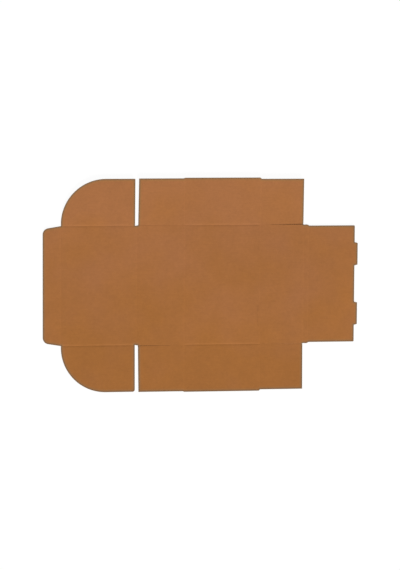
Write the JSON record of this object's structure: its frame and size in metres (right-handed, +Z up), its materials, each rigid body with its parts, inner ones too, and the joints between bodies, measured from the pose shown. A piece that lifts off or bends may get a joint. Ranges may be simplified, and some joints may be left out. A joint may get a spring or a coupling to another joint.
{
  "type": "flat hamburger box blank",
  "caption": "Flat die-cut kraft board blank of a hamburger box: lid with tuck and round dust flaps, back wall, base, side walls with ears, and a roll-over front with lock tabs.",
  "frame": {"origin": "middle of the base panel's underside, on the surface that the blank lies on", "axes": "+X from the lid's tuck flap to the front wall's lock tabs, +Y to the far side wall, +Z up, out of the inner face"},
  "size_m": [0.4768, 0.3222, 0.005],
  "materials": {
    "kraft_board": "matt brown kraft paper"
  },
  "bodies": {
    "root": {"box_blank": "kraft_board"}
  },
  "joints": []
}
